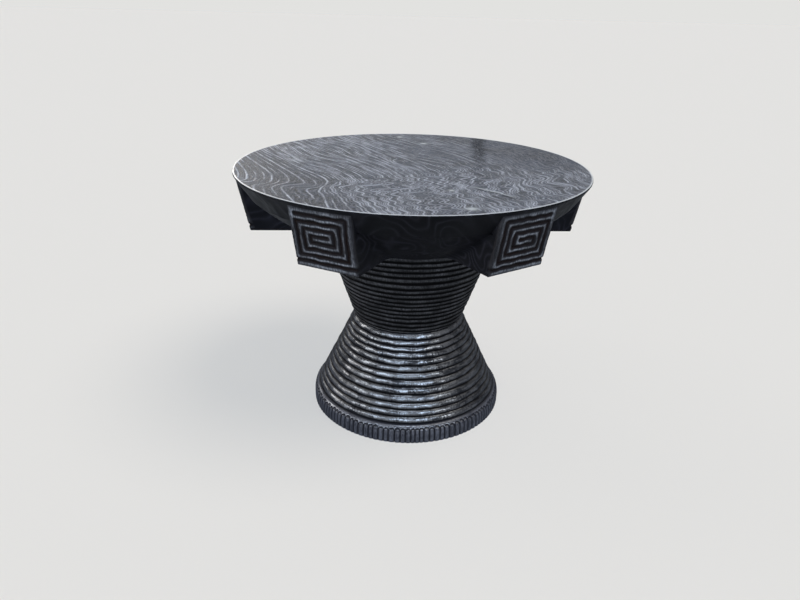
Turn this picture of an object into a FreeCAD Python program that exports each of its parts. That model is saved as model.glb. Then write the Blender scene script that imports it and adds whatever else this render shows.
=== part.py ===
import FreeCAD, Part
import Sketcher
import os

# Round carved side table. The frame stands on the floor, +Z up, with the
# origin under the middle of the foot. Lengths are millimetres, angles degrees.
document = FreeCAD.newDocument("side_table")
sheet = document.addObject("Spreadsheet::Sheet", "sizes")

DRIVING = (
    ("rim_radius", 305, "half the width of the round top"),
    ("slab_thickness", 38, "thickness of the top slab"),
    ("undercut_inset", 24, "how far the slab's edge slopes in at its underside"),
    ("rim_height", 3, "upright band left on the slab's edge"),
    ("rim_chamfer", 1, "eased arris round the top"),
    ("lip_thickness", 7, "slab wood left above each block's head"),
    ("block_count", 6, "carved blocks round the apron"),
    ("first_block_bearing", -115.5, "direction of the first block from +X"),
    ("block_width", 104, "width of a block's face"),
    ("face_head_inset", 7, "rim's edge in to the carved face at the block's top"),
    ("face_lean", 20, "how much further out the face is at its top"),
    ("head_depth", 44, "how deep the block's head is housed, from its face"),
    ("block_drop", 65, "slab's underside down to the block's underside"),
    ("ridge_pitch", 10.9, "step from ridge to ridge of the square spiral"),
    ("spiral_groove_width", 3.2, "width of the groove between two ridges"),
    ("relief_depth", 3.5, "depth of the carved grooves"),
    ("apron_height", 76, "height of the scooped apron under the slab"),
    ("bowl_foot_radius", 165, "apron's radius where it meets the rings"),
    ("bowl_belly_radius", 222, "apron's radius at its belly"),
    ("belly_height", 32, "belly's height above the apron's foot"),
    ("cove_foot_radius", 22, "hollow beside a block, at the apron's foot"),
    ("cove_head_radius", 8, "hollow beside a block, under the slab"),
    ("side_flat_share", 0.63, "bearing of the flat beside a block, of the seam's"),
    ("apron_wall", 15, "apron wood left outside the core's corners, at the foot"),
    ("key_thickness", 12, "thickness of a loose key"),
    ("key_width", 40, "width of a loose key"),
    ("key_reach", 22, "how far a key goes into each piece"),
    ("key_end_gap", 0.5, "room left past each end of a key"),
    ("neck_radius", 158.6, "ringed upper cone's radius at its top"),
    ("waist_radius", 102.5, "both cones' radius at the waist"),
    ("skirt_radius", 171.8, "ringed lower cone's radius at its foot"),
    ("upper_cone_height", 162.6, "waist to the apron's foot"),
    ("lower_cone_height", 143.4, "plinth to the waist"),
    ("upper_ring_count", 16, "rings round the upper cone"),
    ("lower_ring_count", 13, "rings round the lower cone"),
    ("upper_groove_depth", 3.2, "depth of the grooves between upper rings"),
    ("lower_groove_depth", 3.8, "depth of the grooves between lower rings"),
    ("flat_count", 40, "tool cut flats round each ring"),
    ("spindle_radius", 55, "tenon on the upper cone, up through the core"),
    ("spindle_in_slab", 20, "how far that tenon goes into the slab"),
    ("waist_tenon_radius", 48, "tenon on the upper cone, down at the waist"),
    ("waist_tenon_length", 50, "length of the waist tenon"),
    ("foot_tenon_radius", 90, "tenon on the lower cone, down into the plinth"),
    ("foot_tenon_length", 22, "length of the foot tenon"),
    ("tenon_clearance", 0.3, "room round and past a turned tenon"),
    ("plinth_radius", 181.3, "radius of the reeded plinth"),
    ("plinth_height", 34, "height of the plinth"),
    ("reed_height", 25, "height of the upright reeds"),
    ("reed_count", 120, "reeds round the plinth"),
    ("reed_groove_depth", 2.6, "depth of the grooves between reeds"),
    ("reed_groove_width", 4.4, "width of those grooves at the surface"),
    ("cut_overrun", 5, "how far a cut runs past the wood"),
)
for row, (alias, number, note) in enumerate(DRIVING, 1):
    sheet.set(f"A{row}", note)
    sheet.set(f"B{row}", str(number))
    sheet.setAlias(f"B{row}", alias)
document.recompute()


def size(alias):
    return float(sheet.get(alias))


# Heights of the meeting faces, worked out from the stacked pieces
WAIST_LEVEL = "(sizes.plinth_height + sizes.lower_cone_height)"
APRON_LEVEL = f"({WAIST_LEVEL} + sizes.upper_cone_height)"
SLAB_LEVEL = f"({APRON_LEVEL} + sizes.apron_height)"
TOP_LEVEL = f"({SLAB_LEVEL} + sizes.slab_thickness)"
HEAD_LEVEL = f"({TOP_LEVEL} - sizes.lip_thickness)"
UNDERSIDE_LEVEL = f"({SLAB_LEVEL} - sizes.block_drop)"

# Distances from the table's axis
SLAB_FOOT_RADIUS = "(sizes.rim_radius - sizes.undercut_inset)"
FACE_HEAD_REACH = "(sizes.rim_radius - sizes.face_head_inset)"
FACE_FOOT_REACH = f"({FACE_HEAD_REACH} - sizes.face_lean)"
HOUSING_REACH = f"({FACE_HEAD_REACH} - sizes.head_depth)"
CORE_RADIUS = "(sizes.bowl_foot_radius - sizes.apron_wall)"
FACE_RISE = f"({HEAD_LEVEL} - {UNDERSIDE_LEVEL})"
FACE_LENGTH = f"sqrt(sizes.face_lean ^ 2 + {FACE_RISE} ^ 2)"


def plane(body, role):
    return next(f for f in body.Origin.OriginFeatures if f.Role == role)


def turn(feature, angle):
    """Turn a piece about the table's axis by the angle that an expression gives."""
    feature.Placement = FreeCAD.Placement(
        FreeCAD.Vector(), FreeCAD.Rotation(FreeCAD.Vector(0, 0, 1), 1)
    )
    feature.setExpression("Placement.Rotation.Angle", angle)


def outline(body, role, name, points, offset=None, tilt=None):
    """Closed sketch through points that are pairs of expressions.

    offset lifts the sketch off its plane, given as three expressions in the
    plane's own axes, and tilt turns it about the plane's first axis.
    """
    sketch = body.newObject("Sketcher::SketchObject", name)
    sketch.AttachmentSupport = [(plane(body, role), "")]
    sketch.MapMode = "FlatFace"
    if tilt:
        sketch.AttachmentOffset = FreeCAD.Placement(
            FreeCAD.Vector(), FreeCAD.Rotation(FreeCAD.Vector(1, 0, 0), 1)
        )
        sketch.setExpression("AttachmentOffset.Rotation.Angle", tilt)
    for axis, distance in zip("xyz", offset or ()):
        sketch.setExpression(f"AttachmentOffset.Base.{axis}", distance)
    places = [
        (float(sketch.evalExpression(x)), float(sketch.evalExpression(y)))
        for x, y in points
    ]
    count = len(points)
    sketch.addGeometry([
        Part.LineSegment(
            FreeCAD.Vector(*places[i], 0), FreeCAD.Vector(*places[(i + 1) % count], 0)
        )
        for i in range(count)
    ])
    sketch.addConstraint([
        Sketcher.Constraint("Coincident", i, 2, (i + 1) % count, 1)
        for i in range(count)
    ])
    for i, (point, place) in enumerate(zip(points, places)):
        for kind, expression, value, axis in (
            ("DistanceX", point[0], place[0], -2),
            ("DistanceY", point[1], place[1], -1),
        ):
            if expression == "0":
                sketch.addConstraint(Sketcher.Constraint("PointOnObject", i, 1, axis))
                continue
            index = sketch.addConstraint(
                Sketcher.Constraint(kind, -1, 1, i, 1, value)
            )
            sketch.setExpression(f"Constraints[{index}]", expression)
    return sketch


def turned(body, name, points):
    """Turn a half section, given in the XZ plane, about the table's axis."""
    feature = body.newObject("PartDesign::Revolution", name)
    feature.Profile = outline(body, "XZ_Plane", name + "_section", points)
    feature.ReferenceAxis = (feature.Profile[0], ["V_Axis"])
    feature.Angle = 360
    return feature


def around(body, name, cut, count):
    """Repeat a cut round the table's axis."""
    pattern = body.newObject("PartDesign::PolarPattern", name)
    pattern.Originals = [cut]
    pattern.Axis = (plane(body, "Z_Axis"), [""])
    pattern.Angle = 360
    pattern.setExpression("Occurrences", count)
    body.Tip = pattern
    return pattern


def removes(body, before, what):
    """Stop if a cut took no wood away."""
    document.recompute()
    if not body.Shape.Volume < before - 1:
        raise RuntimeError(f"{what} removes nothing")


# Tabletop: a thick round slab whose edge slopes in under a thin upright rim.
# A turned mortise takes the spindle, and six housings take the block heads.
tabletop = document.addObject("PartDesign::Body", "tabletop")
turned(tabletop, "slab", [
    ("0", f"{SLAB_LEVEL} + sizes.spindle_in_slab + sizes.tenon_clearance"),
    ("sizes.spindle_radius + sizes.tenon_clearance",
     f"{SLAB_LEVEL} + sizes.spindle_in_slab + sizes.tenon_clearance"),
    ("sizes.spindle_radius + sizes.tenon_clearance", SLAB_LEVEL),
    (SLAB_FOOT_RADIUS, SLAB_LEVEL),
    ("sizes.rim_radius", f"{TOP_LEVEL} - sizes.rim_height"),
    ("sizes.rim_radius", f"{TOP_LEVEL} - sizes.rim_chamfer"),
    ("sizes.rim_radius - sizes.rim_chamfer", TOP_LEVEL),
    ("0", TOP_LEVEL),
])
document.recompute()
plain_slab_volume = tabletop.Shape.Volume
housing = tabletop.newObject("PartDesign::Pocket", "head_housing")
housing.Profile = outline(
    tabletop, "XY_Plane", "housing_outline",
    [
        (HOUSING_REACH, "-sizes.block_width / 2"),
        ("sizes.rim_radius + sizes.cut_overrun", "-sizes.block_width / 2"),
        ("sizes.rim_radius + sizes.cut_overrun", "sizes.block_width / 2"),
        (HOUSING_REACH, "sizes.block_width / 2"),
    ],
    offset=("0", "0", SLAB_LEVEL),
)
housing.Reversed = True
housing.setExpression("Length", f"{HEAD_LEVEL} - {SLAB_LEVEL}")
around(tabletop, "six_housings", housing, "sizes.block_count")
removes(tabletop, plain_slab_volume, "head housing")
turn(tabletop, "sizes.first_block_bearing")

# Apron block: one sixth of the scooped apron with its carved block in the middle.
# The apron is a bowl in outline, and hollow coves run from it to the block's sides.
SEAM_ANGLE = "(180deg / sizes.block_count)"
FLAT_BEARING = f"({SEAM_ANGLE} * sizes.side_flat_share)"
APRON_HEAD_RADIUS = f"({SLAB_FOOT_RADIUS} * cos(({SEAM_ANGLE} - {FLAT_BEARING}) / 2))"
APRON_SECTIONS = (
    ("0", "sizes.bowl_foot_radius", "sizes.cove_foot_radius"),
    ("sizes.belly_height", "sizes.bowl_belly_radius",
     "(sizes.cove_foot_radius + sizes.cove_head_radius) / 2"),
    ("sizes.apron_height", APRON_HEAD_RADIUS, "sizes.cove_head_radius"),
)
COVE_SHARES = (1, 2 / 3, 1 / 3, 0)
CORE_FLATS_PER_BLOCK = 6
CORE_FLAT_ANGLE = f"({SEAM_ANGLE} / {CORE_FLATS_PER_BLOCK})"
CORE_APOTHEM = f"({CORE_RADIUS} * cos({CORE_FLAT_ANGLE}))"


def apron_outline(bowl_radius, cove_radius):
    """Plan of one sixth of the apron at a level, from seam to seam and back.

    The bowl is cut in flats that face the same way at every level, and the cove
    is drawn between the flat beside the block and the block's side.
    """
    half = "(sizes.block_width / 2)"
    corner = f"(({bowl_radius} - {half} * sin({FLAT_BEARING})) / cos({FLAT_BEARING}))"
    middle = f"({corner} + {cove_radius} * tan(45deg - {FLAT_BEARING} / 2))"
    between = f"(({SEAM_ANGLE} + {FLAT_BEARING}) / 2)"
    arris = f"({bowl_radius} / cos({SEAM_ANGLE} - {between}))"
    side = [
        (f"{bowl_radius} * cos({SEAM_ANGLE})", f"{bowl_radius} * sin({SEAM_ANGLE})"),
        (f"{arris} * cos({between})", f"{arris} * sin({between})"),
    ]
    for share in COVE_SHARES:
        sweep = f"((90deg - {FLAT_BEARING}) * {share})"
        side.append((
            f"{middle} - {cove_radius} * sin({sweep})",
            f"{half} + {cove_radius} - {cove_radius} * cos({sweep})",
        ))
    inner = [(f"{CORE_APOTHEM} * cos({SEAM_ANGLE})", f"{CORE_APOTHEM} * sin({SEAM_ANGLE})")]
    for step in range(CORE_FLATS_PER_BLOCK - 1, 0, -2):
        angle = f"({CORE_FLAT_ANGLE} * {step})"
        inner.append((
            f"{CORE_RADIUS} * cos({angle})", f"{CORE_RADIUS} * sin({angle})"
        ))
    outer = side + [(x, f"-({y})") for x, y in reversed(side)]
    back = [(x, f"-({y})") for x, y in inner] + list(reversed(inner))
    return outer + back


apron = document.addObject("PartDesign::Body", "apron_block_body")
bowl = apron.newObject("PartDesign::AdditiveLoft", "scooped_bowl")
plans = [
    outline(
        apron, "XY_Plane", f"apron_plan_{number}",
        apron_outline(bowl_radius, cove_radius),
        offset=("0", "0", f"{APRON_LEVEL} + {rise}"),
    )
    for number, (rise, bowl_radius, cove_radius) in enumerate(APRON_SECTIONS, 1)
]
bowl.Profile = plans[0]
bowl.Sections = plans[1:]
bowl.Ruled = True
corbel = apron.newObject("PartDesign::Pad", "corbel")
corbel.Profile = outline(apron, "XZ_Plane", "corbel_side", [
    ("sizes.bowl_foot_radius", UNDERSIDE_LEVEL),
    (FACE_FOOT_REACH, UNDERSIDE_LEVEL),
    (FACE_HEAD_REACH, HEAD_LEVEL),
    (HOUSING_REACH, HEAD_LEVEL),
    (HOUSING_REACH, SLAB_LEVEL),
    ("sizes.bowl_foot_radius", SLAB_LEVEL),
])
corbel.Midplane = True
corbel.setExpression("Length", "sizes.block_width")
document.recompute()
plain_block_volume = apron.Shape.Volume


def square_spiral():
    """Middle line of the groove: it winds in from the upper right corner."""
    corners = []
    turn_number = 1
    right = "(sizes.block_width / 2 - sizes.ridge_pitch * {})"
    left = "(sizes.ridge_pitch * {} - sizes.block_width / 2)"
    top = f"({FACE_LENGTH} - sizes.ridge_pitch * {{}})"
    bottom = "(sizes.ridge_pitch * ({} + 1))"
    face_length = float(sheet.evalExpression(FACE_LENGTH))
    while True:
        upper = face_length - size("ridge_pitch") * turn_number
        lower = size("ridge_pitch") * (turn_number + 1)
        inner = size("ridge_pitch") * turn_number
        before = max(turn_number - 1, 1)
        corners.append((right.format(before), top.format(turn_number)))
        if size("block_width") / 2 - inner < size("ridge_pitch") / 2:
            break
        corners.append((left.format(turn_number), top.format(turn_number)))
        if upper - lower < size("ridge_pitch"):
            break
        corners.append((left.format(turn_number), bottom.format(turn_number)))
        corners.append((right.format(turn_number), bottom.format(turn_number)))
        turn_number += 1
    return corners


def groove_outline(corners):
    """Both banks of a groove that follows corners and always turns left."""
    headings = ((-1, 0), (0, -1), (1, 0), (0, 1))
    width = "sizes.spiral_groove_width / 2"
    banks = []
    for bank in (1, -1):
        points = []
        for i, (x, y) in enumerate(corners):
            arriving = headings[(i - 1) % 4] if i else None
            leaving = headings[i % 4] if i < len(corners) - 1 else None
            shift_x = 0
            shift_y = 0
            for heading in (arriving, leaving):
                if heading:
                    shift_x -= heading[1] * bank
                    shift_y += heading[0] * bank
            if arriving is None:
                shift_x -= leaving[0]
                shift_y -= leaving[1]
            if leaving is None:
                shift_x += arriving[0]
                shift_y += arriving[1]
            points.append((f"{x} + {width} * {shift_x}", f"{y} + {width} * {shift_y}"))
        banks.append(points)
    return banks[0] + list(reversed(banks[1]))


FACE_ORIGIN = ("0", UNDERSIDE_LEVEL, FACE_FOOT_REACH)
FACE_TILT = f"atan(sizes.face_lean / {FACE_RISE})"
spiral = apron.newObject("PartDesign::Pocket", "spiral_groove")
spiral.Profile = outline(
    apron, "YZ_Plane", "spiral_outline", groove_outline(square_spiral()),
    offset=FACE_ORIGIN, tilt=FACE_TILT,
)
spiral.setExpression("Length", "sizes.relief_depth")
removes(apron, plain_block_volume, "spiral groove")
spiral_volume = apron.Shape.Volume
band = apron.newObject("PartDesign::Pocket", "lower_band_groove")
band.Profile = outline(
    apron, "YZ_Plane", "band_outline",
    [
        (f"{x} * (sizes.block_width / 2 + sizes.cut_overrun)",
         f"sizes.ridge_pitch + {y} * sizes.spiral_groove_width / 2")
        for x, y in ((-1, -1), (1, -1), (1, 1), (-1, 1))
    ],
    offset=FACE_ORIGIN, tilt=FACE_TILT,
)
band.setExpression("Length", "sizes.relief_depth")
removes(apron, spiral_volume, "lower band groove")

# Loose keys: upright slips of wood. Each core key is glued half into the core and
# half into a block, each seam key half into each of the two blocks at a seam.
KEY_FOOT = f"({APRON_LEVEL} + (sizes.apron_height - sizes.key_width) / 2)"
SEAM_KEY_REACH = f"((sizes.bowl_belly_radius + {CORE_RADIUS}) / 2)"
KEY_LENGTH = "2 * sizes.key_reach"
KEY_SLOT_LENGTH = "2 * (sizes.key_reach + sizes.key_end_gap)"


def slip(name, bearing, reach, radial, tangential):
    """Upright slip centred at reach from the axis, in the bearing's direction."""
    box = document.addObject("Part::Box", name)
    box.setExpression("Length", radial)
    box.setExpression("Width", tangential)
    box.setExpression("Height", "sizes.key_width")
    turn(box, bearing)
    inner = f"({reach} - ({radial}) / 2)"
    half = f"(({tangential}) / 2)"
    east = f"{inner} * cos({bearing}) + {half} * sin({bearing})"
    north = f"{inner} * sin({bearing}) - {half} * cos({bearing})"
    box.setExpression("Placement.Base.x", east)
    box.setExpression("Placement.Base.y", north)
    box.setExpression("Placement.Base.z", KEY_FOOT)
    return box


def core_slip(name, bearing, length):
    return slip(name, bearing, CORE_APOTHEM, length, "sizes.key_thickness")


def seam_slip(name, bearing, length):
    return slip(name, bearing, SEAM_KEY_REACH, "sizes.key_thickness", length)


def block_bearing(number):
    return f"(sizes.first_block_bearing * 1deg + {2 * number} * {SEAM_ANGLE})"


def joined(kind, name, label, pieces):
    """Pieces fused into one, or held together as a group of separate solids."""
    feature = document.addObject(kind, name)
    if kind == "Part::MultiFuse":
        feature.Shapes = pieces
        feature.Refine = False
    else:
        feature.Links = pieces
    feature.Label = label
    return feature


def cut_from(base, tool, name, label):
    feature = document.addObject("Part::Cut", name)
    feature.Base = base
    feature.Tool = tool
    feature.Refine = False
    feature.Label = label
    return feature


block_slots = joined("Part::MultiFuse", "block_slots", "block slots", [
    core_slip("slot_to_core", "0deg", KEY_SLOT_LENGTH),
    seam_slip("slot_at_left_seam", SEAM_ANGLE, KEY_SLOT_LENGTH),
    seam_slip("slot_at_right_seam", f"-{SEAM_ANGLE}", KEY_SLOT_LENGTH),
])
slotted_block = cut_from(apron, block_slots, "slotted_block", "slotted block")
document.recompute()


def flat_faced(shape):
    """The same solid, with each of its flat faces remade as a plane from its corners."""
    faces = []
    for face in shape.Faces:
        rims = []
        for wire in face.Wires:
            corners = [vertex.Point for vertex in wire.OrderedVertexes]
            rims.append(Part.makePolygon(corners + corners[:1]))
        faces.append(Part.makeFace(rims, "Part::FaceMakerBullseye"))
    shell = Part.makeShell(faces)
    shell.sewShape()
    return Part.makeSolid(shell)


block_right = document.addObject("Part::Feature", "block_right")
block_right.Shape = flat_faced(slotted_block.Shape)
block_left = document.addObject("Part::Mirroring", "block_left")
block_left.Source = block_right
block_left.Normal = FreeCAD.Vector(0, 1, 0)

# Six apron blocks, with the spirals winding one way and the other by turns.
pieces = []
block_count = int(size("block_count"))
for number in range(block_count):
    hand = (block_left, block_right)[number % 2]
    block = joined(
        "Part::Compound", f"placed_block_{number + 1}", f"apron_block_{number + 1}", [hand]
    )
    turn(block, block_bearing(number))
    pieces.append(block)

# Apron core: a many-sided drum that the blocks stand against, bored for the spindle.
drum = document.addObject("Part::Prism", "drum")
drum.setExpression("Polygon", f"sizes.block_count * {CORE_FLATS_PER_BLOCK}")
drum.setExpression("Circumradius", CORE_RADIUS)
drum.setExpression("Height", "sizes.apron_height")
turn(drum, f"sizes.first_block_bearing * 1deg + {CORE_FLAT_ANGLE}")
drum.setExpression("Placement.Base.z", APRON_LEVEL)


def cylinder(name, radius, foot, height):
    feature = document.addObject("Part::Cylinder", name)
    feature.setExpression("Radius", radius)
    feature.setExpression("Height", height)
    feature.setExpression("Placement.Base.z", foot)
    return feature


spindle_bore = cylinder(
    "spindle_bore", "sizes.spindle_radius + sizes.tenon_clearance",
    APRON_LEVEL, "sizes.apron_height",
)
core_cuts = joined(
    "Part::MultiFuse", "core_cuts", "core cuts",
    [spindle_bore] + [
        core_slip(f"core_slot_{number + 1}", block_bearing(number), KEY_SLOT_LENGTH)
        for number in range(block_count)
    ],
)
core = cut_from(drum, core_cuts, "core", "apron_core")
core_keys = joined("Part::Compound", "core_key_set", "core_keys", [
    core_slip(f"core_key_{number + 1}", block_bearing(number), KEY_LENGTH)
    for number in range(block_count)
])
seam_keys = joined("Part::Compound", "seam_key_set", "seam_keys", [
    seam_slip(
        f"seam_key_{number + 1}", f"({block_bearing(number)} + {SEAM_ANGLE})", KEY_LENGTH
    )
    for number in range(block_count)
])
pieces += [core, core_keys, seam_keys]

# Ringed cones: each ring is cut in short flats, and a narrow groove parts it from
# the next. Shares along a ring's pitch, and shares of the groove's depth there.
RING_SHARES = ((0, 1), (0.2, 0), (0.8, 0))


def ringed_cone(name, count, foot, rise, foot_radius, head_radius, groove_depth):
    """Loft through the polygons at each ring's groove and at its two shoulders."""
    stations = []
    for ring in range(count):
        for along_share, depth_share in RING_SHARES:
            stations.append(((ring + along_share) / count, depth_share))
    stations.append((1, 1))
    polygons = []
    for number, (share, depth_share) in enumerate(stations, 1):
        polygon = document.addObject("Part::RegularPolygon", f"{name}_{number}")
        polygon.setExpression("Polygon", "sizes.flat_count")
        polygon.setExpression(
            "Circumradius",
            f"{foot_radius} + ({head_radius} - {foot_radius}) * {share}"
            f" - {groove_depth} * {depth_share}",
        )
        polygon.setExpression("Placement.Base.z", f"{foot} + {rise} * {share}")
        polygons.append(polygon)
    loft = document.addObject("Part::Loft", name)
    loft.Sections = polygons
    loft.Solid = True
    loft.Ruled = True
    return loft


# Upper cone: it widens upwards from the waist. Its spindle tenon goes up through
# the core into the slab, and its waist tenon goes down into the lower cone.
upper_rings = ringed_cone(
    "upper_rings", int(size("upper_ring_count")), WAIST_LEVEL,
    "sizes.upper_cone_height", "sizes.waist_radius", "sizes.neck_radius",
    "sizes.upper_groove_depth",
)
spindle = cylinder(
    "spindle", "sizes.spindle_radius", APRON_LEVEL,
    "sizes.apron_height + sizes.spindle_in_slab",
)
waist_tenon = cylinder(
    "waist_tenon", "sizes.waist_tenon_radius",
    f"{WAIST_LEVEL} - sizes.waist_tenon_length", "sizes.waist_tenon_length",
)
pieces.append(joined(
    "Part::MultiFuse", "upper_piece", "upper_cone", [upper_rings, spindle, waist_tenon]
))

# Lower cone: it widens downwards from the waist to the plinth, with a mortise for
# the waist tenon and a wide short tenon into the plinth.
lower_rings = ringed_cone(
    "lower_rings", int(size("lower_ring_count")), "sizes.plinth_height",
    "sizes.lower_cone_height", "sizes.skirt_radius", "sizes.waist_radius",
    "sizes.lower_groove_depth",
)
foot_tenon = cylinder(
    "foot_tenon", "sizes.foot_tenon_radius",
    "sizes.plinth_height - sizes.foot_tenon_length", "sizes.foot_tenon_length",
)
waist_mortise = cylinder(
    "waist_mortise", "sizes.waist_tenon_radius + sizes.tenon_clearance",
    f"{WAIST_LEVEL} - sizes.waist_tenon_length - sizes.tenon_clearance",
    "sizes.waist_tenon_length + sizes.tenon_clearance",
)
lower_solid = joined(
    "Part::MultiFuse", "lower_solid", "lower solid", [lower_rings, foot_tenon]
)
pieces.append(cut_from(lower_solid, waist_mortise, "lower_piece", "lower_cone"))

# Plinth: a disc with upright reeds cut round its edge, under a smooth lip that
# carries on the lower cone's slope, and with a recess for the foot tenon.
plinth = document.addObject("PartDesign::Body", "plinth")
disc = plinth.newObject("PartDesign::AdditivePrism", "disc")
disc.setExpression("Polygon", "sizes.reed_count")
disc.setExpression("Circumradius", "sizes.plinth_radius")
disc.setExpression("Height", "sizes.plinth_height")
document.recompute()
top_face = max(range(len(disc.Shape.Faces)), key=lambda i: disc.Shape.Faces[i].CenterOfMass.z)
lip = plinth.newObject("PartDesign::Chamfer", "lip")
lip.Base = (disc, [f"Face{top_face + 1}"])
lip.ChamferType = "Two distances"
lip.setExpression("Size", "sizes.plinth_height - sizes.reed_height")
lip.setExpression("Size2", "sizes.plinth_radius - sizes.skirt_radius")
document.recompute()
plain_plinth_volume = plinth.Shape.Volume
recess = plinth.newObject("PartDesign::SubtractiveCylinder", "foot_recess")
RECESS_DEPTH = "(sizes.foot_tenon_length + sizes.tenon_clearance)"
recess.setExpression("Radius", "sizes.foot_tenon_radius + sizes.tenon_clearance")
recess.setExpression("Height", f"{RECESS_DEPTH} + sizes.cut_overrun")
recess.setExpression("AttachmentOffset.Base.z", f"sizes.plinth_height - {RECESS_DEPTH}")
recess.AttachmentSupport = [(plane(plinth, "XY_Plane"), "")]
recess.MapMode = "FlatFace"
removes(plinth, plain_plinth_volume, "foot recess")
recessed_plinth_volume = plinth.Shape.Volume
reed_groove = plinth.newObject("PartDesign::Pocket", "reed_groove")
WIDENED = "(sizes.reed_groove_depth + sizes.cut_overrun) / sizes.reed_groove_depth"
reed_groove.Profile = outline(plinth, "XY_Plane", "reed_groove_plan", [
    ("sizes.plinth_radius - sizes.reed_groove_depth", "0"),
    ("sizes.plinth_radius + sizes.cut_overrun",
     f"-sizes.reed_groove_width / 2 * {WIDENED}"),
    ("sizes.plinth_radius + sizes.cut_overrun",
     f"sizes.reed_groove_width / 2 * {WIDENED}"),
])
reed_groove.Reversed = True
reed_groove.setExpression("Length", "sizes.reed_height")
around(plinth, "reed_grooves", reed_groove, "sizes.reed_count")
removes(plinth, recessed_plinth_volume, "reed groove")
pieces += [tabletop, plinth]

document.recompute()
for feature in document.Objects:
    if {"Invalid", "Error"} & set(feature.State):
        raise RuntimeError(f"{feature.Label} did not build")
for piece in pieces:
    if piece.Shape.isNull() or not piece.Shape.isValid():
        raise RuntimeError(f"{piece.Label} is not a sound shape")
os.makedirs("parts", exist_ok=True)
for piece in pieces:
    piece.Shape.exportStep(f"parts/{piece.Label}.step")
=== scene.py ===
import math

import bpy
import numpy as np
from mathutils import Matrix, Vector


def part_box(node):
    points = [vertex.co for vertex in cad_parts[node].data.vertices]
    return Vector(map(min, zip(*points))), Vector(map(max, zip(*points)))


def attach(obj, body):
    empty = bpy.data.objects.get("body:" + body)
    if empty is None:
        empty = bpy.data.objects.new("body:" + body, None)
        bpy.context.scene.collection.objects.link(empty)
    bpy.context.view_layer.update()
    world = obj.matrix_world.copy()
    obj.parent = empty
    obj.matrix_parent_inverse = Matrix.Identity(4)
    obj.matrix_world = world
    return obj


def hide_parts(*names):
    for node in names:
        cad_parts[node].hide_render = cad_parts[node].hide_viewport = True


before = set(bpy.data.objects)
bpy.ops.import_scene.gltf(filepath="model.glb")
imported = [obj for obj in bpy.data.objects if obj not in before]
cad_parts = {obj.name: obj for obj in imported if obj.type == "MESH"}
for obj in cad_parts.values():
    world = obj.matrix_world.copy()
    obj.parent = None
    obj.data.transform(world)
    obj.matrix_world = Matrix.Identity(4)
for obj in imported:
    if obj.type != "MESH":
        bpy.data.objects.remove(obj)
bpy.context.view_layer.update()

# Plinth: the disc the table stands on, in blackened hardwood. Its edge is cut
# with upright gouged reeds of uneven width, their heads rounded off under a
# smooth lip. The lip has a soft shoulder, and a groove parts it from the cone.
MM = 0.001
FULL_TURN = 2 * math.pi

plinth_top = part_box("plinth")[1]
PLINTH_RADIUS = plinth_top.x
PLINTH_HEIGHT = plinth_top.z
LIP_HEAD_RADIUS = 171.8 * MM
REED_COUNT = 120
REED_WIDTHS = (0.78, 1.22)
REED_ROUNDNESS = 2.3
LIP_LEVEL = 25 * MM
REED_HEAD_LEVEL = 28 * MM
REED_HEAD_UNEVENNESS = 1.1
REED_DEPTH = 2.5 * MM
REED_HEAD_CUT = 1.3 * MM
REED_RUB_AND_HIGHLIGHT = 0.75
FOOT_EASE = 0.6 * MM
FOOT_EASE_LEVEL = 1.4 * MM
LIP_SHOULDER_LEVEL = 31.2 * MM
NECK_CUT = 2.2 * MM
SHOULDER_CUT = 1.7 * MM
SHOULDER_REACH = 5 * MM
EDGE_INSET = 0.4 * MM
RECESS_RADIUS = 90.3 * MM
RECESS_LEVEL = 11.7 * MM
POINTS_ACROSS_REED = 10
# Levels of the rows of points in mm, closest round the reeds' heads and in the groove
EDGE_LEVELS = np.concatenate([
    [0, 0.5, 1.4], np.arange(3, 18, 2.5), np.arange(18, 31, 0.7), np.linspace(31.2, 34, 7)
])


def swing(rng, turns, slowest, fastest, size):
    """Uneven hand-made swing round the axis, in waves of so many to the turn."""
    total = np.zeros_like(turns)
    for waves in range(slowest, fastest + 1):
        strength = rng.normal() / math.sqrt(waves)
        total += strength * np.cos(waves * turns + rng.uniform(0, FULL_TURN))
    return size * total / max(np.abs(total).max(), 1e-9)


def swells(points, length, seed, waves=14):
    """Smooth uneven field through space, about -1 to 1, its swells a length apart."""
    rng = np.random.default_rng(seed)
    field = np.zeros(points.shape[:-1])
    for _ in range(waves):
        heading = rng.normal(size=3)
        heading *= FULL_TURN / (np.linalg.norm(heading) * length * rng.uniform(0.7, 1.4))
        field += np.cos(points @ heading + rng.uniform(0, FULL_TURN))
    return field / math.sqrt(waves)


def ring_of(radius, turns, level):
    """One closed row of points round the axis."""
    radius = np.broadcast_to(radius, turns.shape)
    level = np.broadcast_to(level, turns.shape)
    return np.stack([radius * np.cos(turns), radius * np.sin(turns), level], axis=-1)


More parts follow.
